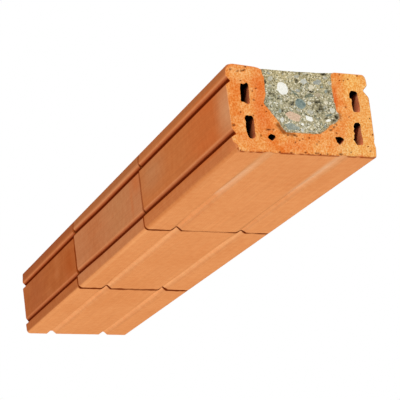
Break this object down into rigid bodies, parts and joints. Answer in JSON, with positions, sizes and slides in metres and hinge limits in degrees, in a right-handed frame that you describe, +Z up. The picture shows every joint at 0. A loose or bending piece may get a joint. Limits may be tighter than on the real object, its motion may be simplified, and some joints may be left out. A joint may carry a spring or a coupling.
{
  "type": "ceramic lintel",
  "caption": "Flat building lintel of butted hollow clay U shells filled with concrete around a steel bar.",
  "frame": {"origin": "centre of the footprint, on the plane of the clay underside", "axes": "+X along the lintel to the end whose cut face the picture shows, +Y across it, +Z up from the clay underside to the open, concrete side"},
  "size_m": [0.75, 0.12, 0.07],
  "materials": {
    "clay_near": "matte",
    "clay_middle": "matte",
    "clay_far": "matte",
    "concrete": "rough",
    "steel": "sawn"
  },
  "bodies": {
    "root": {"shell_1": "clay_near", "shell_2": "clay_middle", "shell_3": "clay_far", "concrete_core": "concrete", "reinforcing_bar": "steel"}
  },
  "joints": []
}
